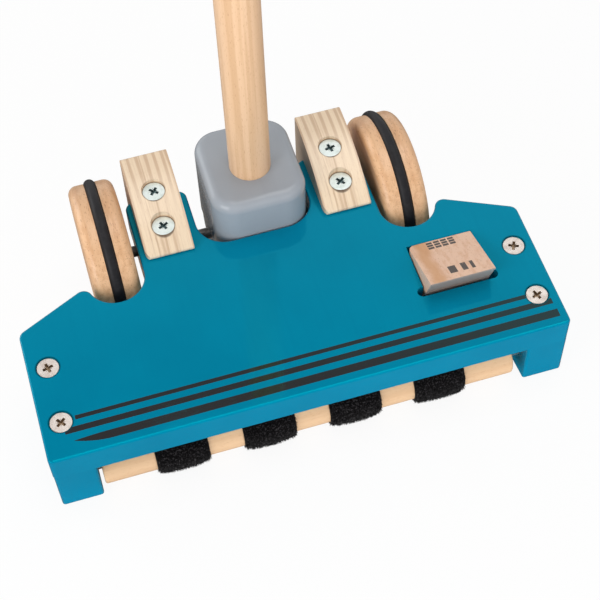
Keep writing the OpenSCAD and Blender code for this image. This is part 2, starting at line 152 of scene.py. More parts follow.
class Graph:
    """A short way to place and link shader nodes."""

    def __init__(self, tree: NodeTree) -> None:
        """Works on one node tree."""
        self.tree = tree

    @classmethod
    def blank(cls, owner: Any) -> "Graph":
        """Empties the node tree of a material or world.

        Args:
            owner: The material or world.

        Returns:
            The empty graph.
        """
        owner.use_nodes = True
        owner.node_tree.nodes.clear()
        return cls(owner.node_tree)

    def fill(self, node: Node, inputs: dict[Any, Any]) -> None:
        """Links or sets a node's inputs.

        Args:
            node: The node.
            inputs: Values or output sockets by input name or number.
        """
        for key, value in inputs.items():
            if isinstance(value, Socket):
                self.tree.links.new(value, node.inputs[key])
            else:
                node.inputs[key].default_value = value

    def add(self, kind: str, inputs: dict[Any, Any] | None = None, **props: Any) -> Node:
        """Adds a node, sets its properties and fills its inputs.

        Args:
            kind: Type of the node, without the ShaderNode prefix.
            inputs: Values or output sockets by input name or number.
            props: Properties of the node.

        Returns:
            The new node.
        """
        node = self.tree.nodes.new("ShaderNode" + kind)
        for name, value in props.items():
            setattr(node, name, value)
        self.fill(node, inputs or {})
        return node

    def math(self, operation: str, *values: Any, clamp: bool = False) -> Socket:
        """Adds a Math node and gives its output."""
        return self.add("Math", dict(enumerate(values)), operation=operation, use_clamp=clamp).outputs[0]

    plus = partialmethod(math, "ADD")
    minus = partialmethod(math, "SUBTRACT")
    times = partialmethod(math, "MULTIPLY")
    scaled = partialmethod(math, "MULTIPLY_ADD")
    least = partialmethod(math, "MINIMUM")
    most = partialmethod(math, "MAXIMUM")

    def vector(self, operation: str, first: Any, second: Any) -> Socket:
        """Adds a Vector Math node and gives its output."""
        return self.add("VectorMath", {0: first, 1: second}, operation=operation).outputs[0]

    stretch = partialmethod(vector, "MULTIPLY")

    def split(self, vector: Any) -> Any:
        """Gives the three parts of a vector."""
        return self.add("SeparateXYZ", {0: vector}).outputs

    def mix(self, share: Any, first: Any, second: Any) -> Socket:
        """Mixes two colours by the share of the second."""
        return self.add("Mix", {0: share, 6: first, 7: second}, data_type="RGBA").outputs[2]

    def noise(self, vector: Any, scale: float, detail: float = 2.0, roughness: float = 0.5) -> Socket:
        """Adds a noise texture and gives its value."""
        values = {"Vector": vector, "Scale": scale, "Detail": detail, "Roughness": roughness}
        return self.add("TexNoise", values).outputs["Fac"]

    def ramp(self, value: Any, low: float, high: float) -> Socket:
        """Spreads a value from low to high over 0 to 1, smoothly and clamped."""
        values = {"Value": value, "From Min": low, "From Max": high}
        return self.add("MapRange", values, interpolation_type="SMOOTHSTEP").outputs[0]

    def effect(self, name: str, inputs: dict[str, Any]) -> Any:
        """Places a shared node group and gives its outputs."""
        return self.add("Group", inputs, node_tree=Effects.get(name)).outputs


def start_group(name: str, inputs: dict[str, str], outputs: dict[str, str]) -> tuple[Graph, Any, Node]:
    """Starts a shader node group with named sockets.

    Args:
        name: Name of the group.
        inputs: Names of the inputs, parted by spaces, by kind of socket.
        outputs: Names of the outputs, in the same way.

    Returns:
        The group's graph, its input sockets and its output node.
    """
    tree = bpy.data.node_groups.new(name, "ShaderNodeTree")
    for in_out, kinds in (("INPUT", inputs), ("OUTPUT", outputs)):
        for kind, labels in kinds.items():
            for label in labels.split():
                tree.interface.new_socket(name=label, in_out=in_out, socket_type="NodeSocket" + kind)
    entry = tree.nodes.new("NodeGroupInput")
    return Graph(tree), entry.outputs, tree.nodes.new("NodeGroupOutput")


class Effects:
    """The shader node groups that several finishes share, each built once."""

    made: ClassVar[dict[str, NodeTree]] = {}

    @classmethod
    def get(cls, name: str) -> NodeTree:
        """Gives a group by name, building it the first time."""
        if name not in cls.made:
            cls.made[name] = getattr(cls, name)()
        return cls.made[name]

    @staticmethod
    def beech_grain() -> NodeTree:
        """Beech: soft growth bands, fine fibre and short dark flecks along the pattern's Y.

        Returns:
            The group, with a colour, a roughness and a height.
        """
        graph, given, leave = start_group(
            "beech_grain",
            {"Vector": "Vector", "Color": "Pale Brown Fleck", "Float": "Band Streak Flecks Rear"},
            {"Color": "Color", "Float": "Roughness Height"})
        vector, brown = given["Vector"], given["Brown"]
        wander = graph.noise(graph.stretch(vector, (0.05, 0.012, 0.05)), 1.0, 1.0)
        lifted = graph.times(wander, 2.2)
        shift = graph.add("CombineXYZ", {0: lifted, 2: lifted}).outputs[0]
        waved = graph.vector("ADD", vector, shift)
        bands = graph.noise(graph.stretch(waved, (0.42, 0.006, 0.42)), 1.0, 3.0, 0.6)
        broad = graph.noise(graph.stretch(waved, (0.1, 0.004, 0.1)), 1.0, 2.0)
        fibre = graph.noise(graph.stretch(vector, (4.0, 0.1, 4.0)), 1.0, 2.0, 0.65)
        flecks = graph.noise(graph.stretch(vector, (2.8, 0.5, 2.8)), 1.0, 1.0)
        spots = graph.ramp(flecks, 0.62, 0.74)
        along = graph.split(vector)[1]
        rings = graph.add("TexWave", {"Vector": graph.stretch(waved, (1.0, 0.06, 0.06)), "Scale": 0.09,
                                      "Distortion": 5.0, "Detail": 2.0, "Detail Scale": 0.7},
                          wave_type="BANDS", bands_direction="X").outputs["Fac"]
        rear = graph.times(graph.ramp(along, -8.0, 24.0), given["Rear"])
        lines = graph.times(graph.ramp(rings, 0.4, 0.95), rear)
        dark = graph.times(graph.ramp(bands, 0.44, 0.64), given["Band"])
        tone = graph.mix(graph.most(dark, lines), given["Pale"], brown)
        tone = graph.mix(graph.times(graph.ramp(broad, 0.5, 0.8), given["Streak"]), tone, brown)
        tone = graph.mix(graph.times(graph.ramp(fibre, 0.35, 0.8), 0.16), tone, brown)
        tone = graph.mix(graph.times(spots, given["Flecks"]), tone, given["Fleck"])
        pores = graph.minus(graph.times(fibre, 0.5), graph.times(spots, 0.6))
        graph.fill(leave, {"Color": tone, "Roughness": graph.scaled(fibre, 0.16, 0.36), "Height": pores})
        return graph.tree

    @staticmethod
    def paint_skin() -> NodeTree:
        """Sprayed gloss paint: slow changes of tone, a faint orange peel and fine handling marks.

        Returns:
            The group, with a colour, a roughness and a height.
        """
        graph, given, leave = start_group(
            "paint_skin", {"Vector": "Vector", "Color": "Color Shade", "Float": "Gloss"},
            {"Color": "Color", "Float": "Roughness Height"})
        vector, shade = given["Vector"], given["Shade"]
        clouds = graph.noise(vector, 0.018, 3.0, 0.55)
        board = graph.noise(graph.stretch(vector, (0.35, 0.012, 0.35)), 1.0, 2.0)
        tone = graph.mix(graph.ramp(clouds, 0.35, 0.7), given["Color"], shade)
        tone = graph.mix(graph.times(graph.ramp(board, 0.45, 0.75), 0.35), tone, shade)
        peel = graph.noise(vector, 0.55, 2.0)
        marks = graph.noise(graph.stretch(vector, (0.25, 0.9, 0.25)), 1.0, 4.0, 0.7)
        rough = graph.scaled(graph.ramp(marks, 0.5, 0.8), 0.07, given["Gloss"])
        graph.fill(leave, {"Color": tone, "Roughness": rough, "Height": graph.scaled(board, 0.3, peel)})
        return graph.tree

    @staticmethod
    def stripe_mask() -> NodeTree:
        """A printed stripe along X, with a straight right end and a left end that may draw to a point.

        Returns:
            The group, with a mask.
        """
        graph, given, leave = start_group(
            "stripe_mask", {"Vector": "Vector", "Float": "Middle Half Left Right Taper Lift"},
            {"Float": "Mask"})
        x, y, z = graph.split(given["Vector"])
        inward = graph.minus(x, given["Left"])
        reach = graph.math("DIVIDE", inward, graph.most(given["Taper"], 0.01), clamp=True)
        short = graph.minus(1.0, reach)
        drawn = graph.times(short, short)
        across = graph.minus(y, graph.plus(given["Middle"], graph.times(drawn, given["Lift"])))
        half = graph.times(given["Half"], graph.minus(1.0, drawn))
        body = graph.minus(half, graph.math("ABSOLUTE", across))
        edge = graph.least(graph.least(body, graph.minus(given["Right"], x)), inward)
        upper = graph.math("GREATER_THAN", z, -0.6)
        graph.fill(leave, {"Mask": graph.times(graph.ramp(edge, -0.06, 0.06), upper)})
        return graph.tree

    @staticmethod
    def printed_blocks() -> NodeTree:
        """Rows of small printed rectangles on X and Y.

        Returns:
            The group, with a mask.
        """
        graph, given, leave = start_group(
            "printed_blocks", {"Vector": "Vector Corner Pitch Count Size"}, {"Float": "Mask"})
        place = graph.split(graph.vector("SUBTRACT", given["Vector"], given["Corner"]))
        pitch, count, size = (graph.split(given[name]) for name in ("Pitch", "Count", "Size"))
        masks = []
        for axis in (0, 1):
            inside = graph.math("FLOORED_MODULO", place[axis], pitch[axis])
            ends = graph.least(inside, graph.minus(size[axis], inside))
            whole = graph.times(pitch[axis], count[axis])
            span = graph.least(place[axis], graph.minus(whole, place[axis]))
            masks.append(graph.ramp(graph.least(ends, span), -0.05, 0.05))
        graph.fill(leave, {"Mask": graph.times(*masks)})
        return graph.tree

    @staticmethod
    def handling() -> NodeTree:
        """Fine smears and dust that dull a hard surface here and there.

        Returns:
            The group, with a mask and a height.
        """
        graph, given, leave = start_group("handling", {"Vector": "Vector"}, {"Float": "Mask Height"})
        smear = graph.noise(graph.stretch(given["Vector"], (0.3, 0.3, 0.8)), 1.0, 4.0, 0.6)
        grit = graph.noise(given["Vector"], 3.5, 2.0)
        graph.fill(leave, {"Mask": graph.ramp(smear, 0.4, 0.75), "Height": grit})
        return graph.tree


class Surface(Graph):
    """The graph of a new material, with its coordinates in the head's millimetres."""

    # Width inside and outside a seat's edge, and strength, of the painted shade ring round each screw.
    seat_shadow_edge: ClassVar[Pair] = (0.4, 0.25)
    seat_shadow_share: ClassVar[float] = 0.8

    def __init__(self, name: str) -> None:
        """Makes the material and its coordinates.

        Args:
            name: Name of the material.
        """
        self.material = bpy.data.materials.new(name)
        self.material.use_nodes = True
        super().__init__(self.material.node_tree)
        there = self.add("TexCoord").outputs["Object"]
        self.place = self.add("Mapping", {"Vector": there, "Location": HEAD.origin,
                                          "Rotation": (HEAD.tilt, 0.0, 0.0), "Scale": (MM, MM, MM)},
                              vector_type="TEXTURE").outputs[0]

    def shadowed_seats(self, tone: Any, seats: Iterable[Pair], radius: float, shade: RGB) -> Socket:
        """Paints shade into the seats of screws, which shows as a dark ring round each head.

        Args:
            tone: The colour below.
            seats: Places of the screws on X and Y.
            radius: Radius of a seat in millimetres.
            shade: Colour of the painted shade in a seat.

        Returns:
            The colour with its seats.
        """
        x, y, _ = self.split(self.place)
        inner, outer = self.seat_shadow_edge
        for seat_x, seat_y in seats:
            aside = (self.minus(x, seat_x), self.minus(y, seat_y))
            away = self.math("SQRT", self.plus(*(self.times(d, d) for d in aside)))
            shadow = self.minus(1.0, self.ramp(away, radius - inner, radius + outer))
            tone = self.mix(self.times(shadow, self.seat_shadow_share), tone, linear(shade))
        return tone

    def bump(self, height: Any, depth: float, strength: float) -> Socket:
        """Turns a height, with its depth in millimetres, into a normal."""
        return self.add("Bump", {"Height": height, "Distance": depth * MM, "Strength": strength}).outputs[0]


@dataclass(frozen=True)
class Finish:
    """What every finish has: a name, and a place and turn of its pattern in millimetres."""

    name: str
    grain: Grain = Grain.ALONG_Y
    centre: Point = (0.0, 0.0, 0.0)

    def inputs(self, surface: Surface) -> dict[str, Any]:
        """Wires the finish and gives what the Principled shader takes."""
        raise NotImplementedError

    def make(self) -> Material:
        """Builds the material.

        Returns:
            The material.
        """
        surface = Surface(self.name)
        surface.fill(surface.tree.nodes["Principled BSDF"], self.inputs(surface))
        return surface.material

    def turned(self, surface: Surface) -> Socket:
        """Centres the pattern and turns the grain onto its Y."""
        shifted = surface.vector("SUBTRACT", surface.place, self.centre)
        return surface.add("Mapping", {"Vector": shifted, "Rotation": self.grain.value}).outputs[0]


@dataclass(frozen=True)
class Beech(Finish):
    """Clear-varnished beech."""

    pale: RGB = (236, 200, 160)
    brown: RGB = (205, 158, 112)
    fleck: RGB = (170, 112, 68)
    band: float = 0.5
    streak: float = 0.3
    flecks: float = 0.5
    coat: float = 0.35
    coat_rough: float = 0.25
    specular: float = 0.4
    pores: Pair = (0.04, 0.35)
    depth: float = 1.0
    rear: float = 0.0
    seats: tuple[Pair, ...] = ()
    # Radius and colour of the painted shade ring in the recess round each sunk screw.
    seat_shadow_r: float = 5.2
    seat_shadow_tone: RGB = (92, 68, 48)

    def inputs(self, surface: Surface) -> dict[str, Any]:
        """Wires the grain, with painted shade in the seats where screws are sunk.

        Args:
            surface: The material's graph.

        Returns:
            What the shader takes, by input.
        """
        grain = surface.effect("beech_grain", {
            "Vector": surface.stretch(self.turned(surface), (1.0, 1.0, self.depth)),
            "Pale": linear(self.pale), "Brown": linear(self.brown), "Fleck": linear(self.fleck),
            "Band": self.band, "Streak": self.streak, "Flecks": self.flecks, "Rear": self.rear})
        tone = surface.shadowed_seats(grain["Color"], self.seats, self.seat_shadow_r, self.seat_shadow_tone)
        return {"Base Color": tone, "Roughness": grain["Roughness"], "Coat Weight": self.coat,
                "Coat Roughness": self.coat_rough, "Specular IOR Level": self.specular,
                "Normal": surface.bump(grain["Height"], *self.pores)}


@dataclass(frozen=True)
class PrintedRows:
    """Rows of printed rectangles: first corner, size, pitch and count on X and Y, in millimetres."""

    corner: Pair
    size: Pair
    pitch: Pair = (9.0, 9.0)
    count: Pair = (1.0, 1.0)


@dataclass(frozen=True)
class PrintedBeech(Beech):
    """The pedal's beech: a brown heart streak, end grain in front darkened and greyed by painted shade and a
    painted reflection of the teal plate, and printed rectangles on top.
    """

    heart: RGB = (202, 148, 100)
    heart_x: float = 62.4
    heart_half: float = 2.6
    heart_share: float = 0.75
    # The front face's end grain, darkened by painted shade and greyed by a painted reflection of the teal
    # plate.
    end_grain_shade_and_reflection: RGB = (160, 143, 134)
    lip: Pair = (27.4, 11.2)
    undercut: float = 0.375
    ink: RGB = (46, 40, 38)
    ink_floor: float = 0.8
    rows: tuple[PrintedRows, ...] = ()

    def inputs(self, surface: Surface) -> dict[str, Any]:
        """Wires the grain, and lays the streak, the end grain with its painted shade and reflection, and the
        print over it.

        Args:
            surface: The material's graph.

        Returns:
            What the shader takes, by input.
        """
        wired = super().inputs(surface)
        place = surface.place
        x, y, z = surface.split(place)
        sway = surface.scaled(surface.noise(surface.stretch(place, (0.1, 0.07, 0.1)), 1.0, 3.0), 5.0, -2.5)
        aside = surface.math("ABSOLUTE", surface.plus(surface.minus(x, self.heart_x), sway))
        streak = surface.minus(1.0, surface.ramp(aside, 0.3 * self.heart_half, 1.6 * self.heart_half))
        tone = surface.mix(surface.times(streak, self.heart_share), wired["Base Color"], linear(self.heart))
        face_y = surface.scaled(surface.minus(self.lip[1], z), self.undercut, self.lip[0])
        inside = surface.ramp(surface.minus(y, face_y), 0.15, 0.55)
        tone = surface.mix(inside, linear(self.end_grain_shade_and_reflection), tone)
        for rows in self.rows:
            mask = surface.effect("printed_blocks", {
                "Vector": place, "Corner": (*rows.corner, 0.0), "Pitch": (*rows.pitch, 1.0),
                "Count": (*rows.count, 1.0), "Size": (*rows.size, 1.0)})["Mask"]
            top = surface.times(mask, surface.math("GREATER_THAN", z, self.ink_floor))
            worn = surface.ramp(surface.noise(place, 1.1, 3.0), 0.2, 0.45)
            ink = surface.times(top, surface.scaled(worn, 0.22, 0.75))
            tone = surface.mix(ink, tone, linear(self.ink))
        return wired | {"Base Color": tone}


@dataclass(frozen=True)
class Stripe:
    """One printed stripe across the plate, in the head's millimetres."""

    middle: float
    half: float
    left: float
    right: float
    taper: float = 0.0
    lift: float = 0.0


@dataclass(frozen=True)
class GlossPaint(Finish):
    """Gloss paint, with stripes where the plate has them and painted shade in the seats of its screws."""

    colour: RGB = (0, 120, 153)
    shade: RGB = (0, 114, 147)
    gloss: float = 0.06
    specular: float = 0.65
    sheen_tint: Point = (0.0, 0.95, 1.0)
    peel: Pair = (0.02, 0.06)
    ink: RGB = (47, 12, 14)
    stripes: tuple[Stripe, ...] = ()
    seats: tuple[Pair, ...] = ()
    # Radius and colour of the painted shade ring in the recess round each sunk screw.
    seat_shadow_r: float = 5.35
    seat_shadow_tone: RGB = (0, 58, 78)

    def inputs(self, surface: Surface) -> dict[str, Any]:
        """Wires the paint, with its stripes and the painted shade in the seats of its screws.

        Args:
            surface: The material's graph.

        Returns:
            What the shader takes, by input.
        """
        skin = surface.effect("paint_skin", {"Vector": self.turned(surface), "Color": linear(self.colour),
                                             "Shade": linear(self.shade), "Gloss": self.gloss})
        tone = skin["Color"]
        for stripe in self.stripes:
            mask = surface.effect("stripe_mask", {
                "Vector": surface.place, "Middle": stripe.middle, "Half": stripe.half, "Left": stripe.left,
                "Right": stripe.right, "Taper": stripe.taper, "Lift": stripe.lift})["Mask"]
            tone = surface.mix(mask, tone, linear(self.ink))
        tone = surface.shadowed_seats(tone, self.seats, self.seat_shadow_r, self.seat_shadow_tone)
        return {"Base Color": tone, "Roughness": skin["Roughness"], "Specular IOR Level": self.specular,
                "Specular Tint": (*self.sheen_tint, 1.0), "Normal": surface.bump(skin["Height"], *self.peel)}


@dataclass(frozen=True)
class Smeared(Finish):
    """A hard surface that smears and dust dull here and there."""

    colour: RGB = (214, 216, 214)
    dull: RGB = (168, 168, 160)
    rough: float = 0.28
    dulled: float = 0.15
    grit: Pair = (0.02, 0.2)

    def inputs(self, surface: Surface) -> dict[str, Any]:
        """Wires the smears into colour, roughness and normal.

        Args:
            surface: The material's graph.

        Returns:
            What the shader takes, by input.
        """
        smear = surface.effect("handling", {"Vector": self.turned(surface)})
        return {"Base Color": surface.mix(smear["Mask"], linear(self.colour), linear(self.dull)),
                "Roughness": surface.scaled(smear["Mask"], self.dulled, self.rough),
                "Normal": surface.bump(smear["Height"], *self.grit)}


@dataclass(frozen=True)
class Metal(Smeared):
    """Bright metal, zinc plating or drawn steel, with painted shade in the slots of screws."""

    metallic: float = 0.9
    # Painted shade in the slots of screws.
    slot: RGB = (150, 128, 104)

    def inputs(self, surface: Surface) -> dict[str, Any]:
        """Wires the metal, with the painted shade in its slots.

        Args:
            surface: The material's graph.

        Returns:
            What the shader takes, by input.
        """
        wired = super().inputs(surface)
        slot_shade = surface.add("Attribute", attribute_name="slot_shade_faces").outputs["Fac"]
        tone = surface.mix(slot_shade, wired["Base Color"], linear(self.slot))
        return wired | {"Base Color": tone, "Metallic": self.metallic}


@dataclass(frozen=True)
class Rubber(Smeared):
    """Black rubber, slightly dusty."""

    colour: RGB = (23, 22, 25)
    dull: RGB = (36, 35, 37)
    rough: float = 0.45
    grit: Pair = (0.06, 0.5)
    specular: float = 0.2

    def inputs(self, surface: Surface) -> dict[str, Any]:
        """Wires the rubber and gives what the shader takes."""
        return super().inputs(surface) | {"Specular IOR Level": self.specular}


@dataclass(frozen=True)
class NapPile(Finish):
    """Short black pile, with painted highlights on some fibres, faint at their roots and full at their tips,
    and painted speckles of highlight.
    """

    deep: RGB = (5, 4, 5)
    # Colour of the painted fibre highlights.
    pale: RGB = (66, 64, 66)
    rough: float = 0.9
    specular: float = 0.05
    sheen: float = 0.04

    def inputs(self, surface: Surface) -> dict[str, Any]:
        """Wires the pile.

        Args:
            surface: The material's graph.

        Returns:
            What the shader takes, by input.
        """
        fibre_light = surface.add("Attribute", attribute_name="fibre_highlight").outputs["Fac"]
        # Painted speckles of highlight over the pile.
        speckle_highlight = surface.ramp(surface.noise(surface.place, 1.5, 1.0), 0.5, 0.72)
        share = surface.scaled(fibre_light, 0.5, surface.times(speckle_highlight, 0.55))
        return {"Base Color": surface.mix(share, linear(self.deep), linear(self.pale)),
                "Roughness": self.rough, "Specular IOR Level": self.specular, "Sheen Weight": self.sheen}


class Bench:
    """Modelling steps that several pieces share."""

    weld: ClassVar[float] = 2e-6
    sliver: ClassVar[float] = 5e-6
    coplanar: ClassVar[float] = 0.5
    smooth: ClassVar[float] = 35
    level: ClassVar[float] = 0.99999
    akin: ClassVar[float] = 0.6

    @staticmethod
    def mode(name: str) -> None:
        """Puts the active object into a mode."""
        bpy.ops.object.mode_set(mode=name)

    @classmethod
    def clear(cls) -> None:
        """Leaves edit mode and deselects everything."""
        if bpy.context.object and bpy.context.object.mode != "OBJECT":
            cls.mode("OBJECT")
        bpy.ops.object.select_all(action="DESELECT")

    @classmethod
    def pick(cls, piece: Object) -> None:
        """Makes one object the only selected and active one."""
        cls.clear()
        piece.select_set(True)
        bpy.context.view_layer.objects.active = piece

    @staticmethod
    def new(name: str, data: Any) -> Object:
        """Adds an object to the scene.

        Args:
            name: Name of the object.
            data: Its mesh, lamp or camera.

        Returns:
            The object.
        """
        thing = bpy.data.objects.new(name, data)
        bpy.context.scene.collection.objects.link(thing)
        return thing

    @classmethod
    def select(cls, piece: Object, kind: str, wanted: Callable[[Any], bool]) -> int:
        """Opens a mesh for editing and selects the edges or faces that a test names.

        Args:
            piece: The object.
            kind: EDGE or FACE.
            wanted: Test of one edge or face.

        Returns:
            How many are selected.
        """
        cls.pick(piece)
        cls.mode("EDIT")
        bpy.ops.mesh.select_mode(type=kind)
        bpy.ops.mesh.select_all(action="DESELECT")
        mesh = bmesh.from_edit_mesh(piece.data)
        chosen = [one for one in (mesh.edges if kind == "EDGE" else mesh.faces) if wanted(one)]
        for one in chosen:
            one.select_set(True)
        bmesh.update_edit_mesh(piece.data)
        return len(chosen)

    @classmethod
    def merge(cls) -> None:
        """Opens the active mesh for editing, welds it and dissolves its slivers."""
        cls.mode("EDIT")
        bpy.ops.mesh.select_all(action="SELECT")
        bpy.ops.mesh.remove_doubles(threshold=cls.weld)
        bpy.ops.mesh.dissolve_degenerate(threshold=cls.sliver)

    @classmethod
    def outward(cls) -> None:
        """Turns the normals of the edited mesh outward and leaves edit mode."""
        bpy.ops.mesh.select_all(action="SELECT")
        bpy.ops.mesh.normals_make_consistent(inside=False)
        cls.mode("OBJECT")

    @staticmethod
    def bevel(width: float, segments: int) -> None:
        """Rounds the selected edges by a width in millimetres."""
        bpy.ops.mesh.bevel(offset=width * MM, segments=segments, profile=0.5, clamp_overlap=True)

    @classmethod
    def carve(cls, piece: Object, tool: Object, operation: str = "DIFFERENCE") -> None:
        """Cuts a tool out of a piece, or joins it on, and removes the tool.

        Args:
            piece: The piece that is changed.
            tool: The other object.
            operation: Operation of the boolean modifier.
        """
        cls.pick(piece)
        change = piece.modifiers.new("carved", "BOOLEAN")
        change.operation = operation
        change.object = tool
        bpy.ops.object.modifier_apply(modifier=change.name)
        bpy.data.objects.remove(tool)

    @classmethod
    def softened(cls, node: str, name: str, width: float, wanted: Callable[[Edge], bool]) -> Object:
        """Copies a node's mesh, merges it and rounds the edges that a test names.

        Args:
            node: Name of the node.
            name: Name of the new piece.
            width: Width of the rounding in millimetres.
            wanted: Test of one edge.

        Returns:
            The softened piece.
        """
        piece = cls.new(name, NODES[node].data.copy())
        piece.data.name = name
        cls.pick(piece)
        bpy.ops.mesh.customdata_custom_splitnormals_clear()
        cls.merge()
        bpy.ops.mesh.dissolve_limited(angle_limit=math.radians(cls.coplanar))
        cls.mode("OBJECT")
        if cls.select(piece, "EDGE", wanted):
            bpy.ops.mesh.bevel(offset=width * MM, offset_type="OFFSET", segments=3, profile=0.5,
                               clamp_overlap=False, loop_slide=False)
        cls.shade(piece)
        return piece

    @classmethod
    def shade(cls, piece: Object, broad: float = 100.0) -> None:
        """Shades a piece smoothly up to an angle, with its broad faces kept flat.

        Args:
            piece: The piece.
            broad: Smallest area of a face that stays flat, in square millimetres.
        """
        cls.pick(piece)
        bpy.ops.object.shade_smooth_by_angle(angle=math.radians(cls.smooth))
        mesh = piece.data
        up = HEAD.matrix.to_3x3() @ Vector((0.0, 0.0, 1.0))
        flat = [face.area > broad * MM * MM or abs(face.normal.dot(up)) > cls.level for face in mesh.polygons]
        beside: dict[int, list[Vector]] = {}
        for face in mesh.polygons:
            for vert in face.vertices if flat[face.index] else ():
                beside.setdefault(vert, []).append(face.normal.copy())
        normals = [corner.vector.copy() for corner in mesh.corner_normals]
        for face in mesh.polygons:
            for corner in face.loop_indices:
                met = beside.get(mesh.loops[corner].vertex_index, ())
                near = [normal for normal in met if normal.dot(face.normal) > cls.akin]
                if flat[face.index]:
                    normals[corner] = face.normal.copy()
                elif near:
                    normals[corner] = max(near, key=face.normal.dot)
        mesh.normals_split_custom_set(normals)

    @classmethod
    def join(cls, pieces: list[Object], name: str) -> Object:
        """Joins pieces into the first one and names it.

        Args:
            pieces: The objects to join.
            name: Name of the result.

        Returns:
            The joined object.
        """
        cls.pick(pieces[0])
        for piece in pieces:
            piece.select_set(True)
        bpy.ops.object.join()
        pieces[0].name = name
        pieces[0].data.name = name
        return pieces[0]

    @staticmethod
    def dress(piece: Object, finish: Material) -> None:
        """Gives a piece one material, in its object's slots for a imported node.

        Args:
            piece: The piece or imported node.
            finish: The material.
        """
        if not piece.material_slots:
            piece.data.materials.append(finish)
        for slot in piece.material_slots:
            slot.link = "OBJECT"
            slot.material = finish

    @staticmethod
    def place(piece: Object, body: str, slot: str, *nodes: str) -> None:
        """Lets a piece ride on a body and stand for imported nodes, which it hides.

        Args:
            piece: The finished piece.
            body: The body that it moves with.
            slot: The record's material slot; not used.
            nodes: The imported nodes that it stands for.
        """
        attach(piece, body)
        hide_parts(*nodes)
        LOG.info("%s on %s", piece.name, body)


def sharp(edge: Edge, angle: float) -> bool:
    """Tells whether an edge has two faces that meet at more than an angle in degrees."""
    return len(edge.link_faces) == 2 and edge.calc_face_angle(0.0) > math.radians(angle)


def off_axis(point: Vector, places: Iterable[Pair], room: float) -> bool:
    """Tells whether a point of the head is further than room from upright axes at given X and Y."""
    return all(math.hypot(point.x - x, point.y - y) > room for x, y in places)


@dataclass
class BasePlate:
    """The painted board with its notches, pedal pocket and printed stripes."""

    edge: float = 0.9
    crease: float = 45
    level: float = 0.05
    screw_room: float = 6.0
    pocket: tuple[float, float, float, float] = (50.0, 93.0, 20.0, 60.0)
    stripes: tuple[Stripe, ...] = (
        Stripe(17.3, 0.95, -95.6, 97.0),
        Stripe(12.1, 1.35, -100.8, 106.2),
        Stripe(5.9, 1.85, -98.2, 106.6, taper=16.0, lift=1.2))

    def outline(self, edge: Edge) -> bool:
        """Tells whether an edge belongs to the board's upper outline.

        Args:
            edge: One edge of the board's mesh.

        Returns:
            Whether it is rounded.
        """
        ends = [HEAD.local(v.co) for v in edge.verts]
        upper = all(abs(p.z) < self.level for p in ends)
        x0, x1, y0, y1 = self.pocket
        inside = all(x0 < p.x < x1 and y0 < p.y < y1 for p in ends)
        clear = all(off_axis(p, LEG_SEATS + BLOCK_SEATS, self.screw_room) for p in ends)
        return upper and not inside and sharp(edge, self.crease) and clear

    def build(self) -> None:
        """Builds the softened board and dresses it."""
        piece = Bench.softened("base_plate", "striped_board", self.edge, self.outline)
        Bench.dress(piece, GlossPaint("teal_gloss_striped", stripes=self.stripes, seats=LEG_SEATS).make())
        Bench.place(piece, "head", "teal_paint", "base_plate")


@dataclass
class Legs:
    """The painted boards under the plate's ends."""

    edge: float = 1.2
    crease: float = 45
    shortest: float = 5.0
    seam: float = -13.6
    centre: Point = (40.0, 13.0, 7.0)

    def outline(self, edge: Edge) -> bool:
        """Tells whether an edge is a long outer one, away from the seam under the plate."""
        hidden = all(HEAD.local(v.co).z > self.seam for v in edge.verts)
        return not hidden and sharp(edge, self.crease) and edge.calc_length() > self.shortest * MM

    def build(self) -> None:
        """Builds both legs and dresses them."""
        paint = GlossPaint("teal_gloss", centre=self.centre).make()
        for side in Side:
            node = f"{side.label}_leg"
            piece = Bench.softened(node, node + "_board", self.edge, self.outline)
            Bench.dress(piece, paint)
            Bench.place(piece, "head", "teal_paint", node)


@dataclass
class AxleBlocks:
    """The beech blocks that grip the tabs and carry the axle."""

    middle: Point = (39.8, 100.0, -14.0)
    heart_shift: float = 3.0

    def build(self) -> None:
        """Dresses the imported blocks."""
        for side in Side:
            x, y, z = self.middle
            wood = Beech(f"{side.label}_block_beech", centre=(side.value * x + self.heart_shift, y, z),
                         pale=(229, 207, 178), brown=(172, 134, 102), fleck=(164, 116, 80), band=0.6,
                         streak=0.3, flecks=0.2, coat=0.5, depth=0.1, rear=0.52,
                         seats=tuple(seat for seat in BLOCK_SEATS if seat[0] * side.value > 0))
            Bench.dress(NODES[f"{side.label}_axle_block"], wood.make())
            LOG.info("%s axle block dressed", side.label)


@dataclass(frozen=True)
class ScrewSet:
    """One set of screws: its node, the screw's sizes in millimetres, and each one's place and turn."""

    node: str
    zinc: Metal
    length: float
    head_d: float
    sink: float
    seats: tuple[Pair, ...]
    heights: tuple[float, ...]
    turns: tuple[float, ...]


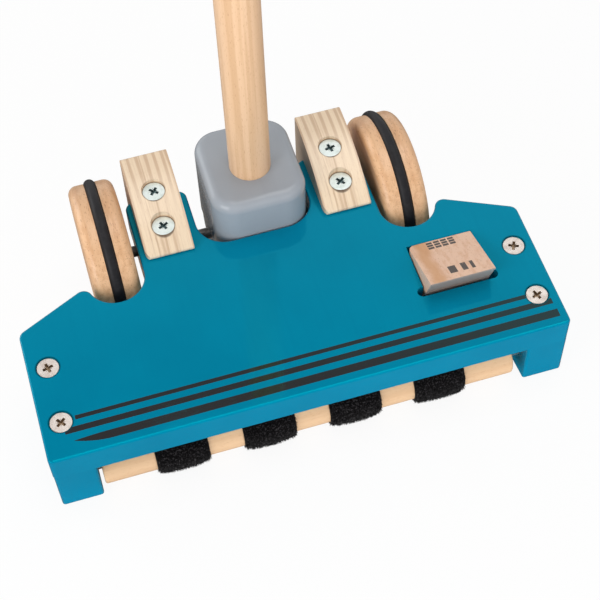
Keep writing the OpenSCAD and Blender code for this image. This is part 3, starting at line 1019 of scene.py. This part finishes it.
@dataclass
class Screws:
    """Countersunk cross-slot wood screws, modelled once for each set and copied."""

    sides: int = 48
    rim_h: float = 0.15
    rim_round: float = 0.22
    shank_d: float = 4.5
    tip_h: float = 4.0
    tip_share: float = 0.08
    cross: Point = (5.6, 1.55, 1.7)
    ticks: Point = (4.4, 0.3, 0.25)
    slot_taper: float = 0.62
    broad: float = 12.0
    sets: tuple[ScrewSet, ...] = (
        ScrewSet("leg_screws", Metal("zinc_plate_warm", colour=(206, 197, 190), dull=(184, 171, 162),
                                     rough=0.42, metallic=0.75),
                 32.0, 9.2, 0.42, LEG_SEATS, (0.0, 0.0, 0.0, 0.0), (20.0, 40.0, 65.0, 15.0)),
        # The block screws' slots carry painted shade tinted by a painted reflection of the teal paint.
        ScrewSet("block_screws", Metal("zinc_plate", colour=(222, 230, 226), dull=(196, 206, 200),
                                       rough=0.34, metallic=0.75, slot=(104, 124, 126)),
                 25.0, 9.7, 0.2, BLOCK_SEATS, (7.62, 7.62, 12.7, 12.7), (38.0, 25.0, 12.0, 50.0)))

    def cutter(self) -> Object:
        """Models the tapered cross that cuts the slot.

        Returns:
            The cutter.
        """
        bars = []
        for turn, size in ((0, self.cross), (90, self.cross), (45, self.ticks), (135, self.ticks)):
            Bench.clear()
            bpy.ops.mesh.primitive_cube_add(size=MM)
            bar = bpy.context.object
            bar.scale = (size[0], size[1], 2 * size[2])
            bar.rotation_euler = (0.0, 0.0, math.radians(turn))
            bpy.ops.object.transform_apply()
            Bench.select(bar, "FACE", lambda f: f.normal.z < -0.9)
            bpy.ops.transform.resize(value=(self.slot_taper, self.slot_taper, 1.0))
            Bench.mode("OBJECT")
            bars.append(bar)
        for bar in bars[1:]:
            Bench.carve(bars[0], bar, "UNION")
        return bars[0]

    def in_slot(self, face: Any) -> float:
        """Tells, as 1 or 0, whether a face of a screw is a wall or the floor of its slot.

        Args:
            face: One face of the mesh.

        Returns:
            The mark of the face.
        """
        x, y, z = face.center / MM
        wall = z < -0.02 and math.hypot(x, y) < self.cross[0] / 2 and abs(face.normal.z) < 0.999
        return float(wall or face.normal.z > 0.9 and z < -0.3)

    def model(self, length: float, head_d: float) -> Object:
        """Models one screw with its head flush with Z = 0.

        Args:
            length: Length of the screw in millimetres.
            head_d: Width of its head in millimetres.

        Returns:
            The screw.
        """
        cone_h = (head_d - self.shank_d) / 2
        shank_l = length - self.rim_h - cone_h - self.tip_h
        Bench.clear()
        bpy.ops.mesh.primitive_cylinder_add(vertices=self.sides, radius=head_d / 2 * MM,
                                            depth=self.rim_h * MM, location=(0.0, 0.0, -self.rim_h / 2 * MM))
        screw = bpy.context.object
        bpy.ops.object.transform_apply()
        Bench.select(screw, "EDGE", lambda e: all(v.co.z > -1e-6 for v in e.verts))
        Bench.bevel(self.rim_round, 3)
        bpy.ops.mesh.select_mode(type="FACE")
        steps = ((cone_h, self.shank_d / head_d), (shank_l, 1.0), (self.tip_h, self.tip_share))
        for drop, share in steps:
            bpy.ops.mesh.select_all(action="DESELECT")
            mesh = bmesh.from_edit_mesh(screw.data)
            min(mesh.faces, key=lambda f: f.calc_center_median().z).select_set(True)
            bmesh.update_edit_mesh(screw.data)
            bpy.ops.mesh.extrude_region_move(TRANSFORM_OT_translate={"value": (0.0, 0.0, -drop * MM)})
            bpy.ops.transform.resize(value=(share, share, 1.0))
        Bench.mode("OBJECT")
        Bench.carve(screw, self.cutter())
        Bench.shade(screw, self.broad)
        # Marks the slot faces, which get the metal's painted slot shade.
        marks = [self.in_slot(face) for face in screw.data.polygons]
        screw.data.attributes.new("slot_shade_faces", "FLOAT", "FACE").data.foreach_set("value", marks)
        return screw

    def build(self) -> None:
        """Builds both sets of screws and dresses them."""
        for group in self.sets:
            screw = self.model(group.length, group.head_d)
            copies = []
            for (x, y), z, turn in zip(group.seats, group.heights, group.turns):
                copy = Bench.new("screw", screw.data.copy())
                seat = Matrix.Translation(Vector((x, y, z - group.sink)) * MM)
                copy.matrix_world = HEAD.matrix @ (seat @ Matrix.Rotation(math.radians(turn), 4, "Z"))
                Bench.pick(copy)
                bpy.ops.object.transform_apply()
                copies.append(copy)
            bpy.data.objects.remove(screw)
            piece = Bench.join(copies, group.node + "_cross_slot")
            Bench.dress(piece, group.zinc.make())
            Bench.place(piece, "head", "zinc", group.node)


@dataclass
class Wheels:
    """The turned wheels with their rubber rings, the axle and its caps."""

    middle: Point = (65.3, 96.0, -12.0)

    def build(self) -> None:
        """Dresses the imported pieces."""
        rubber = Rubber("ring_rubber").make()
        # The axle's steel is darkened with painted shade, as it sits shadowed in the gaps; the caps share it.
        steel = Metal("shade_darkened_steel", grain=Grain.ALONG_X, colour=(104, 100, 98), dull=(72, 68, 66), rough=0.4,
                      metallic=0.8).make()
        for side in Side:
            x, y, z = self.middle
            wood = Beech(f"{side.label}_wheel_beech", centre=(side.value * x, y, z), pale=(220, 177, 136),
                         brown=(190, 138, 94), fleck=(140, 88, 52), band=0.45, streak=0.4, flecks=0.7)
            Bench.dress(NODES[f"{side.label}_wheel"], wood.make())
            Bench.dress(NODES[f"{side.label}_wheel_ring"], rubber)
            Bench.dress(NODES[f"{side.label}_axle_cap"], steel)
            LOG.info("%s wheel dressed", side.label)
        Bench.dress(NODES["axle"], steel)


@dataclass
class Roller:
    """The sweeping roller with its four napped bands and its pins."""

    bands: int = 4
    base_r: float = 11.5
    barrel: float = 1.1
    bore_r: float = 9.0
    pile_r: float = 12.35
    width: float = 22.3
    edge_r: float = 1.2
    steepest: float = 0.95
    sides: int = 72
    rings: int = 17
    smooth: float = 50
    fibres: int = 3000
    fibre_r: float = 0.13
    fibre_l: Pair = (0.7, 1.25)
    rooted: float = 0.25
    scatter: float = 0.25
    swept: float = 0.25
    splay: float = 0.5
    knee: Pair = (0.55, 0.3)
    knee_share: float = 0.8
    # How few fibres carry a painted highlight, and how it grows from painted shade at the root to full at the
    # tip.
    highlight_power: int = 5
    root_to_tip_light: tuple[float, ...] = (0.3, 0.3, 0.3, 0.7, 0.7, 0.7, 1.0)
    first_seed: int = 40

    def inset(self, along: np.ndarray) -> np.ndarray:
        """Gives how far places along a band lie in its rounded edge, from 0 to nearly 1."""
        return np.clip((np.abs(along) - (self.width / 2 - self.edge_r)) / self.edge_r, 0.0, self.steepest)

    def ground(self, along: np.ndarray) -> np.ndarray:
        """Gives the radius of a band's ground, which bulges at the middle, at places along it."""
        edge = self.edge_r * (1 - np.sqrt(1 - self.inset(along) ** 2))
        return self.base_r - self.barrel * (along / (self.width / 2)) ** 2 - edge

    def sleeve(self, name: str, middle: Point) -> Object:
        """Models the woven ground of one band.

        Args:
            name: Name of the piece.
            middle: Middle of the band in the world.

        Returns:
            The sleeve, in the world.
        """
        Bench.clear()
        bpy.ops.mesh.primitive_cylinder_add(vertices=self.sides, radius=self.base_r * MM,
                                            depth=self.width * MM)
        sleeve = bpy.context.object
        sleeve.name = name
        Bench.select(sleeve, "EDGE", lambda e: abs(e.verts[0].co.z - e.verts[1].co.z) > self.width / 2 * MM)
        bpy.ops.mesh.subdivide(number_cuts=self.rings)
        mesh = bmesh.from_edit_mesh(sleeve.data)
        for vert in mesh.verts:
            share = float(self.ground(np.array(vert.co.z / MM))) / self.base_r
            vert.co = (vert.co.x * share, vert.co.y * share, vert.co.z)
        bmesh.update_edit_mesh(sleeve.data)
        Bench.select(sleeve, "FACE", lambda f: abs(f.normal.z) > 0.999 and len(f.verts) > 8)
        rim = float(self.ground(np.array(self.width / 2)))
        bpy.ops.mesh.inset(thickness=(rim - self.bore_r) * MM, use_individual=True)
        bpy.ops.mesh.delete(type="FACE")
        bpy.ops.mesh.select_mode(type="EDGE")
        bpy.ops.mesh.select_non_manifold()
        bpy.ops.mesh.bridge_edge_loops()
        Bench.outward()
        sleeve.matrix_world = Matrix.Translation(middle) @ Matrix.Rotation(math.pi / 2, 4, "Y")
        bpy.ops.object.transform_apply()
        bpy.ops.object.shade_smooth_by_angle(angle=math.radians(self.smooth))
        return sleeve

    def pile(self, name: str, middle: Point, seed: int) -> Object:
        """Grows the short fibres of one band, each a bent three-sided blade.

        Args:
            name: Name of the piece.
            middle: Middle of the band in the world.
            seed: Seed of the scatter.

        Returns:
            The fibres, in the world.
        """
        rng = np.random.default_rng(seed)
        n = self.fibres
        half = self.width / 2
        along = rng.uniform(-half, half, n)
        turn = rng.uniform(0.0, 2 * math.pi, n)
        length = rng.uniform(*self.fibre_l, n)[:, None]
        lean_x = rng.normal(0.0, self.scatter, n) + np.sign(along) * self.inset(along) * self.splay
        lean_t = rng.normal(0.0, self.scatter, n) + self.swept
        out = np.stack([np.zeros(n), np.cos(turn), np.sin(turn)], 1)
        side = np.stack([np.zeros(n), -np.sin(turn), np.cos(turn)], 1)
        axis = np.array([1.0, 0.0, 0.0])
        root = out * (self.ground(along) - self.rooted)[:, None] + axis * along[:, None]
        rise, lean = self.knee
        bend = out * rise + side * (lean_t * lean)[:, None] + axis * (lean_x * lean)[:, None]
        tip = out + side * lean_t[:, None] + axis * lean_x[:, None]
        mid = root + bend * length
        top = root + tip * length
        reach = np.linalg.norm(top[:, 1:], axis=1)
        top[:, 1:] *= np.minimum(1.0, self.pile_r / reach)[:, None]
        ring = [axis * math.cos(a) + side * math.sin(a) for a in (0.0, 2 * math.pi / 3, 4 * math.pi / 3)]
        lower = np.stack([root + r * self.fibre_r for r in ring], 1)
        upper = np.stack([mid + r * self.fibre_r * self.knee_share for r in ring], 1)
        points = np.concatenate([lower, upper, top[:, None, :]], 1)
        faces = []
        for b in range(0, len(self.root_to_tip_light) * n, len(self.root_to_tip_light)):
            faces += [(b, b + 1, b + 4, b + 3), (b + 1, b + 2, b + 5, b + 4), (b + 2, b, b + 3, b + 5),
                      (b + 3, b + 4, b + 6), (b + 4, b + 5, b + 6), (b + 5, b + 3, b + 6), (b + 2, b + 1, b)]
        mesh = bpy.data.meshes.new(name)
        mesh.from_pydata((points.reshape(-1, 3) * MM + np.array(middle)).tolist(), [], faces)
        # Some fibres get a painted highlight, faint at the root and full at the tip.
        highlighted = rng.uniform(0.0, 1.0, n) ** self.highlight_power
        tone = np.repeat(highlighted, len(self.root_to_tip_light)) * np.tile(self.root_to_tip_light, n)
        mesh.attributes.new("fibre_highlight", "FLOAT", "POINT").data.foreach_set("value", tone.astype(np.float32))
        piece = Bench.new(name, mesh)
        Bench.pick(piece)
        Bench.mode("EDIT")
        Bench.outward()
        return piece

    def build(self) -> None:
        """Builds the bands and dresses the roller and its pins."""
        nap = NapPile("black_nap").make()
        wood = Beech("roller_beech", grain=Grain.ALONG_X, centre=(0.0, 4.0, -20.0), pale=(209, 174, 136),
                     brown=(192, 149, 108), fleck=(158, 108, 70), band=0.25, streak=0.2, flecks=0.3)
        Bench.dress(NODES["roller"], wood.make())
        steel = Metal("pin_steel", grain=Grain.ALONG_X, rough=0.25).make()
        for side in Side:
            Bench.dress(NODES[f"{side.label}_roller_pin"], steel)
        _, axis_y, axis_z = JOINTS["roller_spin"]
        for number in range(1, self.bands + 1):
            low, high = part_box(f"nap_band_{number}")
            middle = ((low.x + high.x) / 2, axis_y, axis_z)
            ground = self.sleeve(f"nap_ground_{number}", middle)
            fibres = self.pile(f"nap_pile_{number}", middle, self.first_seed + number)
            piece = Bench.join([ground, fibres], f"napped_band_{number}")
            Bench.dress(piece, nap)
            Bench.place(piece, "roller_body", "nap", f"nap_band_{number}")


@dataclass
class Pedal:
    """The tipping pedal with its printed rectangles, and its pin."""

    left: float = 57.8
    right: float = 86.2
    profile: tuple[Pair, ...] = (
        (56.0, 0.6), (27.4, 11.2), (31.6, 0.0), (33.6, -10.54), (38.0, -11.0), (54.5, -11.0))
    front: float = 34.0
    rear: float = 54.0
    foot: float = -10.0
    near: float = 0.01
    corner: float = 1.0
    rear_corner: float = 3.0
    edge: float = 0.7
    crease: float = 30
    top_area: float = 1e-4
    pin: Pair = (38.0, -6.75)
    bore_d: float = 4.1
    drill_l: float = 40.0
    drill_sides: int = 48
    rows: tuple[PrintedRows, ...] = (
        PrintedRows((65.5, 50.4), (2.6, 1.35), (3.2, 1.72), (4.0, 3.0)),
        PrintedRows((68.0, 31.6), (3.3, 4.8)),
        PrintedRows((73.6, 31.6), (2.3, 5.0)),
        PrintedRows((77.6, 31.6), (1.5, 5.0)))

    def wedge(self) -> Object:
        """Models the wedge in the head's frame: its side outline drawn out over its width.

        Returns:
            The wedge with square edges.
        """
        Bench.clear()
        bpy.ops.mesh.primitive_circle_add(vertices=len(self.profile), radius=10 * MM, fill_type="NGON")
        piece = bpy.context.object
        piece.name = "printed_pedal"
        piece.data.name = piece.name
        Bench.mode("EDIT")
        mesh = bmesh.from_edit_mesh(piece.data)
        mesh.verts.ensure_lookup_table()
        for vert, (y, z) in zip(mesh.verts, self.profile):
            vert.co = Vector((self.left, y, z)) * MM
        bmesh.update_edit_mesh(piece.data)
        bpy.ops.mesh.select_all(action="SELECT")
        width = (self.right - self.left) * MM
        bpy.ops.mesh.extrude_region_move(TRANSFORM_OT_translate={"value": (width, 0.0, 0.0)})
        Bench.outward()
        return piece

    def corner_edge(self, edge: Edge, rear_left: bool) -> bool:
        """Tells whether an edge is an upright corner of the wedge.

        Args:
            edge: One edge of the wedge, in the head's frame.
            rear_left: Whether the well-rounded rear left corner is meant, or the other three.

        Returns:
            Whether the edge is rounded.
        """
        ends = [v.co / MM for v in edge.verts]
        if abs(ends[0].x - ends[1].x) > self.near or all(p.z < self.foot for p in ends):
            return False
        rear = all(p.y > self.rear for p in ends)
        front = all(p.y < self.front for p in ends)
        left = ends[0].x < self.left + self.near
        return (rear and left) if rear_left else (front or rear and not left)

    def top_edge(self, edge: Edge) -> bool:
        """Tells whether an edge bounds the wedge's sloping top."""
        tops = [f for f in edge.link_faces if f.normal.z > 0.9 and f.calc_area() > self.top_area]
        return sharp(edge, self.crease) and bool(tops)

    def bore(self, piece: Object) -> None:
        """Drills the wedge for its pin.

        Args:
            piece: The wedge, in the head's frame.
        """
        Bench.clear()
        middle = ((self.left + self.right) / 2 * MM, self.pin[0] * MM, self.pin[1] * MM)
        bpy.ops.mesh.primitive_cylinder_add(vertices=self.drill_sides, radius=self.bore_d / 2 * MM,
                                            depth=self.drill_l * MM, location=middle,
                                            rotation=(0.0, math.pi / 2, 0.0))
        Bench.carve(piece, bpy.context.object)
        Bench.merge()
        Bench.mode("OBJECT")

    def build(self) -> None:
        """Builds the pedal and dresses it with its pin."""
        piece = self.wedge()
        for rear_left, radius in ((True, self.rear_corner), (False, self.corner)):
            Bench.select(piece, "EDGE", lambda e: self.corner_edge(e, rear_left))
            Bench.bevel(radius, 6)
        Bench.select(piece, "EDGE", self.top_edge)
        Bench.bevel(self.edge, 4)
        Bench.mode("OBJECT")
        self.bore(piece)
        piece.matrix_world = HEAD.matrix
        bpy.ops.object.transform_apply()
        Bench.shade(piece)
        wood = PrintedBeech("pedal_beech", centre=(70.0, 40.0, 18.0), pale=(228, 191, 165),
                            brown=(200, 146, 106), fleck=(160, 108, 80), band=0.35, streak=0.3, flecks=0.45,
                            rows=self.rows)
        Bench.dress(piece, wood.make())
        Bench.place(piece, "pedal_body", "beech", "pedal")
        Bench.dress(NODES["pedal_pin"], Metal("pedal_pin_steel", grain=Grain.ALONG_X).make())


@dataclass
class Handle:
    """The grey handle block, the rod and the hand ball."""

    def build(self) -> None:
        """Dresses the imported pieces."""
        grey = GlossPaint("grey_gloss", colour=(154, 160, 167), shade=(148, 153, 160), gloss=0.14,
                          specular=0.3, sheen_tint=WHITE[:3])
        rod = Beech("rod_beech", grain=Grain.ALONG_Z, centre=(-4.0, 98.0, 0.0), pale=(219, 182, 146),
                    brown=(194, 150, 106), fleck=(170, 118, 78), band=0.45, streak=0.4, flecks=0.4)
        ball = Beech("ball_beech", grain=Grain.ALONG_Z, centre=(6.0, 100.0, 0.0), pale=(238, 199, 158),
                     brown=(212, 164, 118), fleck=(180, 122, 80))
        for node, finish in (("handle_block", grey), ("handle_rod", rod), ("hand_ball", ball)):
            Bench.dress(NODES[node], finish.make())
        LOG.info("handle dressed")


@dataclass
class Studio:
    """Floor, lamps, world and the camera at the photograph's viewing angle."""

    azimuth: float = -14.95
    elevation: float = 55.95
    roll: float = -2.24
    place: Point = (-82.1, -286.4, 506.3)
    lens: float = 87.64
    sensor: float = 36.0
    farthest: float = 50.0
    floor_size: float = 6.0
    floor_tone: tuple[float, float, float, float] = (0.86, 0.86, 0.86, 1.0)
    floor_glow: float = 0.92
    floor_bounce: float = 3.1
    floor_dulled: float = 0.8
    bounce_share: float = 0.5
    ambient: float = 0.4
    overhead: float = 0.5
    backdrop: Pair = (0.89, 0.945)
    aim: Point = (0.0, 0.0, 0.05)
    unmirrored: str = "front_softbox"
    lamps: list[tuple[str, Point, float, float]] = field(default_factory=lambda: [
        ("left_softbox", (-1.1, -0.75, 0.55), 0.8, 9.5),
        ("front_softbox", (0.32, -1.32, 0.4), 0.7, 5.5),
        ("top_softbox", (0.3, -0.1, 1.7), 1.0, 10.0),
        ("back_softbox", (-1.0, 0.9, 0.7), 0.8, 5.0),
    ])

    def camera(self) -> None:
        """Makes the camera, given in the head's frame, and makes it the scene's."""
        az, el, roll = (math.radians(v) for v in (self.azimuth, self.elevation, self.roll))
        back = Vector((math.sin(az) * math.cos(el), -math.cos(az) * math.cos(el), math.sin(el)))
        right = Vector((math.cos(az), math.sin(az), 0.0))
        up = back.cross(right)
        across = right * math.cos(roll) + up * math.sin(roll)
        upright = up * math.cos(roll) - right * math.sin(roll)
        turn = Matrix((across, upright, back)).transposed().to_4x4()
        data = bpy.data.cameras.new("photo_camera")
        data.lens = self.lens
        data.sensor_width = self.sensor
        data.clip_end = self.farthest
        camera = Bench.new("photo_camera", data)
        camera.matrix_world = HEAD.matrix @ Matrix.Translation(Vector(self.place) * MM) @ turn
        bpy.context.scene.camera = camera

    def floor(self) -> None:
        """Lays the white floor, which keeps a faint shadow."""
        Bench.clear()
        bpy.ops.mesh.primitive_plane_add(size=self.floor_size)
        floor = bpy.context.object
        floor.name = "studio_floor"
        material = bpy.data.materials.new("floor_white")
        graph = Graph.blank(material)
        matt = graph.add("BsdfDiffuse", {"Color": self.floor_tone}).outputs[0]
        path = graph.add("LightPath").outputs
        seen = path["Is Camera Ray"]
        strength = graph.scaled(path["Is Diffuse Ray"], self.floor_bounce, seen)
        glow = graph.add("Emission", {"Color": WHITE, "Strength": strength}).outputs[0]
        dull = graph.scaled(path["Is Glossy Ray"], self.floor_dulled - self.bounce_share, self.bounce_share)
        share = graph.most(dull, graph.times(seen, self.floor_glow))
        mixed = graph.add("MixShader", {0: share, 1: matt, 2: glow}).outputs[0]
        graph.add("OutputMaterial", {"Surface": mixed})
        floor.data.materials.append(material)

    def light(self) -> None:
        """Sets the world and the soft lamps."""
        world = bpy.data.worlds.new("studio_world")
        bpy.context.scene.world = world
        graph = Graph.blank(world)
        path = graph.add("LightPath").outputs
        upward = graph.split(graph.add("TexCoord").outputs["Generated"])[2]
        dark = graph.times(graph.ramp(upward, *self.backdrop), 1.0 - self.overhead)
        sheen = graph.times(path["Is Glossy Ray"], graph.minus(1.0, dark))
        seen = graph.most(path["Is Camera Ray"], sheen)
        strength = graph.most(seen, graph.times(path["Is Diffuse Ray"], self.ambient))
        sky = graph.add("Background", {"Color": WHITE, "Strength": strength}).outputs[0]
        graph.add("OutputWorld", {"Surface": sky})
        for name, place, size, power in self.lamps:
            data = bpy.data.lights.new(name, "AREA")
            data.shape = "SQUARE"
            data.size = size
            data.energy = power
            lamp = Bench.new(name, data)
            lamp.location = place
            lamp.rotation_euler = (Vector(self.aim) - Vector(place)).to_track_quat("-Z", "Y").to_euler()
            lamp.visible_glossy = name != self.unmirrored

    def build(self) -> None:
        """Builds the studio."""
        self.camera()
        self.floor()
        self.light()
        bpy.context.scene.view_settings.view_transform = "Standard"


def main() -> None:
    """Builds the studio and every sub-assembly in order."""
    logging.basicConfig(level=logging.INFO, format="%(message)s")
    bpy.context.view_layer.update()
    Studio().build()
    for part in (BasePlate(), Legs(), AxleBlocks(), Screws(), Wheels(), Roller(), Pedal(), Handle()):
        part.build()
        LOG.info("%s built", type(part).__name__)
    Bench.clear()


if __name__ == "__main__":
    main()
